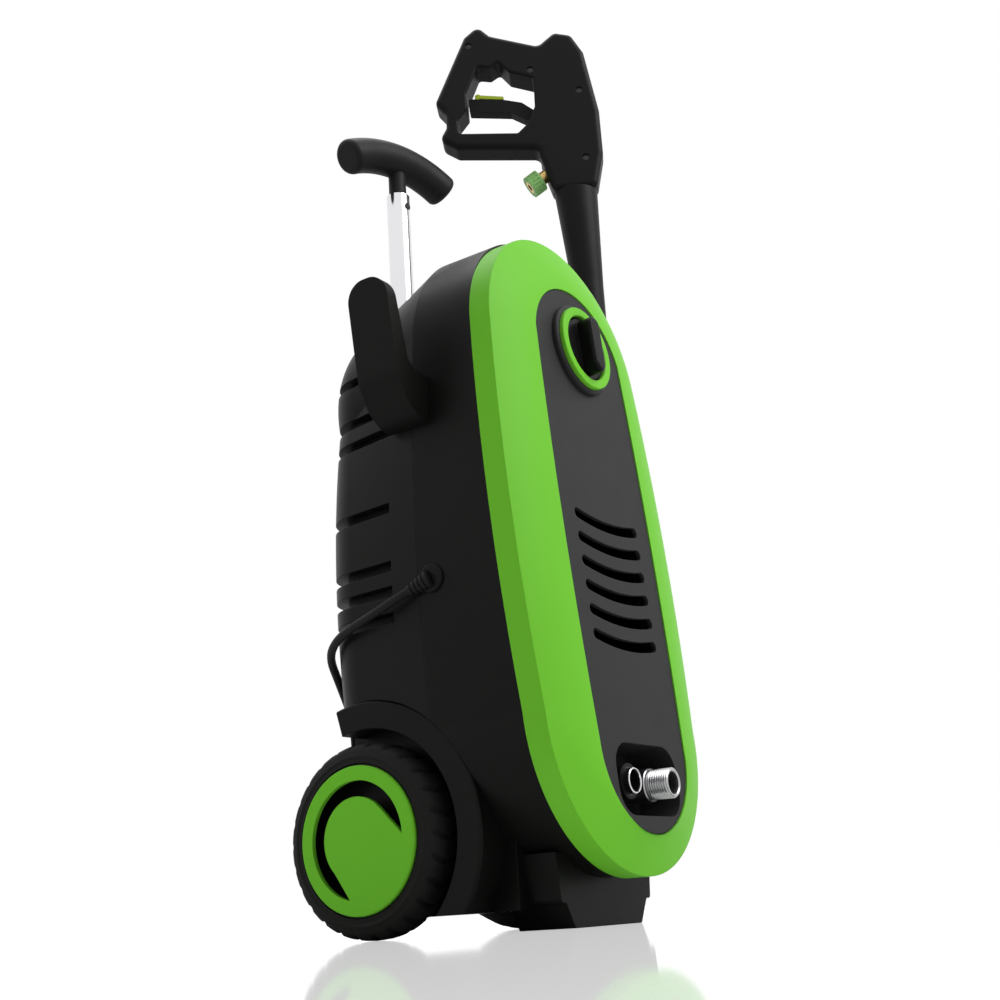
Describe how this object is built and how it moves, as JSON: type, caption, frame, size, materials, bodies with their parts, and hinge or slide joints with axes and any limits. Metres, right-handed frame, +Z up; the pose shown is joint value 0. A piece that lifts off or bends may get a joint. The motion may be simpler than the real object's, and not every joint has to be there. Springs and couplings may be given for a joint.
{
  "type": "electric pressure washer",
  "caption": "Upright electric pressure washer on wheels, with a green front bezel, rotary switch, water connections, pull-out T handle, spray gun in a side holder and a coiled mains lead.",
  "frame": {"origin": "on the floor, under the middle of the machine's box measured without the mains lead", "axes": "+X to the right seen from the front, +Y to the rear, +Z up"},
  "size_m": [0.4698, 0.3255, 1.0277],
  "materials": {
    "green_shell": "satin moulded",
    "black_panel": "satin moulded",
    "black_shell": "satin moulded",
    "gun_black": "satin moulded",
    "lock_green": "satin moulded",
    "tyre_black": "moulded",
    "chrome": "bright",
    "steel": "machined",
    "dark_steel": "black oxide",
    "cast_metal": "die cast",
    "motor_iron": "laminated",
    "pump_brass": "machined",
    "grip_black": "soft moulded",
    "cord_black": "flexible",
    "filter_grey": "moulded"
  },
  "bodies": {
    "machine": {"front_bezel": "green_shell", "front_panel": "black_panel", "dial_collar": "black_panel", "dial_ring": "green_shell", "switch_box": "black_shell", "front_housing": "black_shell", "rear_housing": "black_shell", "housing_screws": "dark_steel", "base_chassis": "black_shell", "left_wheel_arch": "black_shell", "right_wheel_arch": "black_shell", "front_foot": "black_shell", "axle": "steel", "axle_clips": "steel", "pump_manifold": "pump_brass", "pump_housing": "cast_metal", "pump_pistons": "steel", "unloader_valve": "pump_brass", "water_inlet": "chrome", "inlet_filter": "filter_grey", "pressure_outlet": "chrome", "outlet_sleeve": "black_shell", "pump_adapter": "cast_metal", "upper_shield": "cast_metal", "motor_bearings": "steel", "motor_stator": "motor_iron", "handle_guide": "black_shell", "left_holder": "black_shell", "right_holder": "black_shell", "cord_gland": "cord_black", "power_cord": "cord_black", "cord_coil": "cord_black", "cord_tie": "cord_black", "cord_plug": "cord_black"},
    "left_wheel": {"left_tyre": "tyre_black", "left_rim": "black_shell", "left_hub_cap": "green_shell"},
    "right_wheel": {"right_tyre": "tyre_black", "right_rim": "black_shell", "right_hub_cap": "green_shell"},
    "handle": {"handle_tube": "chrome", "handle_grip": "grip_black", "handle_screw": "dark_steel"},
    "switch_knob": {"dial_knob": "black_panel"},
    "spray_gun": {"gun_left_shell": "gun_black", "gun_right_shell": "gun_black", "gun_screws": "dark_steel", "gun_barrel": "gun_black", "lance_socket": "pump_brass", "gun_valve": "pump_brass", "hose_spigot": "pump_brass", "trigger_pin": "steel"},
    "trigger_lever": {"trigger": "gun_black"},
    "safety_lock": {"trigger_lock": "lock_green"},
    "coupling_nut": {"hose_nut": "green_shell"},
    "rotor": {"motor_rotor": "steel", "cooling_fan": "black_shell", "swash_plate": "steel"}
  },
  "joints": [
    {"name": "left_wheel_spin", "type": "hinge", "parent": "machine", "child": "left_wheel", "pos_m": [-0.117, 0.0695, 0.0845], "axis": [1, 0, 0], "continuous": true},
    {"name": "right_wheel_spin", "type": "hinge", "parent": "machine", "child": "right_wheel", "pos_m": [0.117, 0.0695, 0.0845], "axis": [1, 0, 0], "continuous": true},
    {"name": "handle_slide", "type": "slide", "parent": "machine", "child": "handle", "axis": [0, 0, 1], "range_m": [-0.105, 0]},
    {"name": "switch_turn", "type": "hinge", "parent": "machine", "child": "switch_knob", "pos_m": [0, -0.11264, 0.5327], "axis": [0, -0.9968, 0.0802], "range_deg": [0, 90]},
    {"name": "gun_lift", "type": "slide", "parent": "machine", "child": "spray_gun", "axis": [0, 0, 1], "range_m": [0, 0.12]},
    {"name": "trigger_squeeze", "type": "hinge", "parent": "spray_gun", "child": "trigger_lever", "pos_m": [0.14425, -0.00955, 0.9], "axis": [0.866, 0.5, 0], "range_deg": [0, 12], "stiffness_Nm_per_rad": 1.2},
    {"name": "trigger_lock_flip", "type": "hinge", "parent": "trigger_lever", "child": "safety_lock", "pos_m": [0.1065, 0.05583, 0.9395], "axis": [-0.866, -0.5, 0], "range_deg": [0, 25]},
    {"name": "hose_nut_spin", "type": "hinge", "parent": "spray_gun", "child": "coupling_nut", "pos_m": [0.15475, -0.02774, 0.845], "axis": [-0.4145, 0.718, -0.5592], "continuous": true},
    {"name": "rotor_spin", "type": "hinge", "parent": "machine", "child": "rotor", "pos_m": [0, 0.012, 0.3], "axis": [0, 0, 1], "continuous": true}
  ]
}
